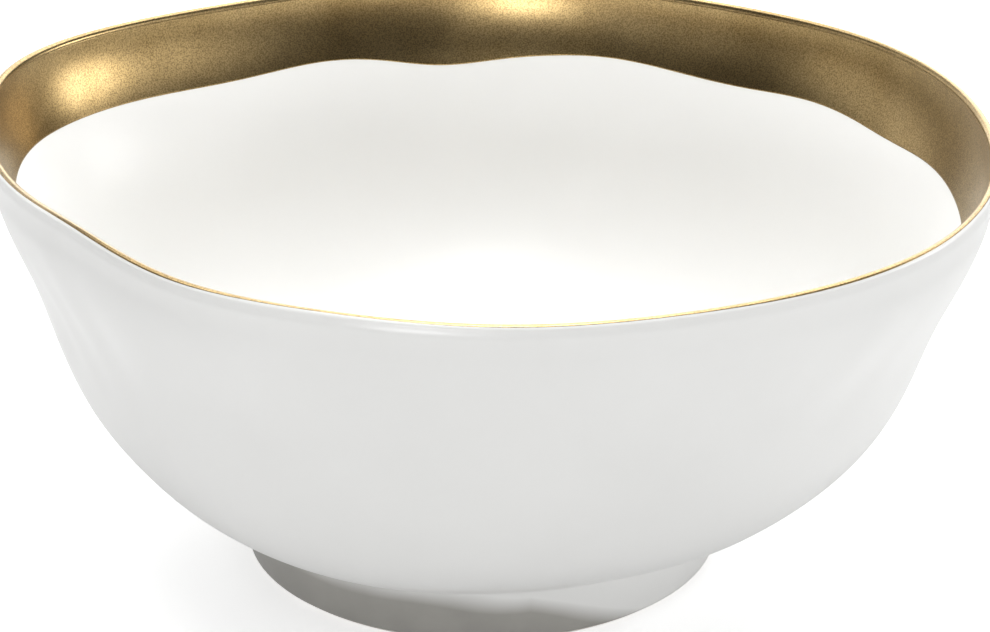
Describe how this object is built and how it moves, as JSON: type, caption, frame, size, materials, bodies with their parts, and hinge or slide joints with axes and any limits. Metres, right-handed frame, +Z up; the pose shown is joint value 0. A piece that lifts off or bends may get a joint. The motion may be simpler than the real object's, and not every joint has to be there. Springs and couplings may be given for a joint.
{
  "type": "porcelain serving bowl",
  "caption": "Hand-formed white porcelain serving bowl on a tapered foot ring, with a wavy gilded lip and a wide gold lustre band inside the rim.",
  "frame": {"origin": "on the ground under the centre of the foot ring", "axes": "+Z up through the bowl, -Y towards the front of the bowl, +X to its right"},
  "size_m": [0.2561, 0.2479, 0.116],
  "materials": {
    "fired_porcelain": "vitrified white porcelain under the glaze",
    "bare_porcelain": "unglazed porcelain, rubbed smooth on the contact edge",
    "white_glaze_outside": "soft gloss clear-white glaze, slightly uneven",
    "white_glaze_inside": "gloss clear-white glaze",
    "white_glaze_underside": "thin clear-white glaze inside the foot",
    "gold_lustre": "fired gold lustre, satin with a fine sparkle",
    "gold_edging": "fired bright gold line, worn soft over the lip"
  },
  "bodies": {
    "root": {"porcelain_body": "fired_porcelain", "foot_ring": "bare_porcelain", "exterior_glaze": "white_glaze_outside", "interior_glaze": "white_glaze_inside", "underside_glaze": "white_glaze_underside", "gold_band": "gold_lustre", "gold_lip": "gold_edging"}
  },
  "joints": []
}
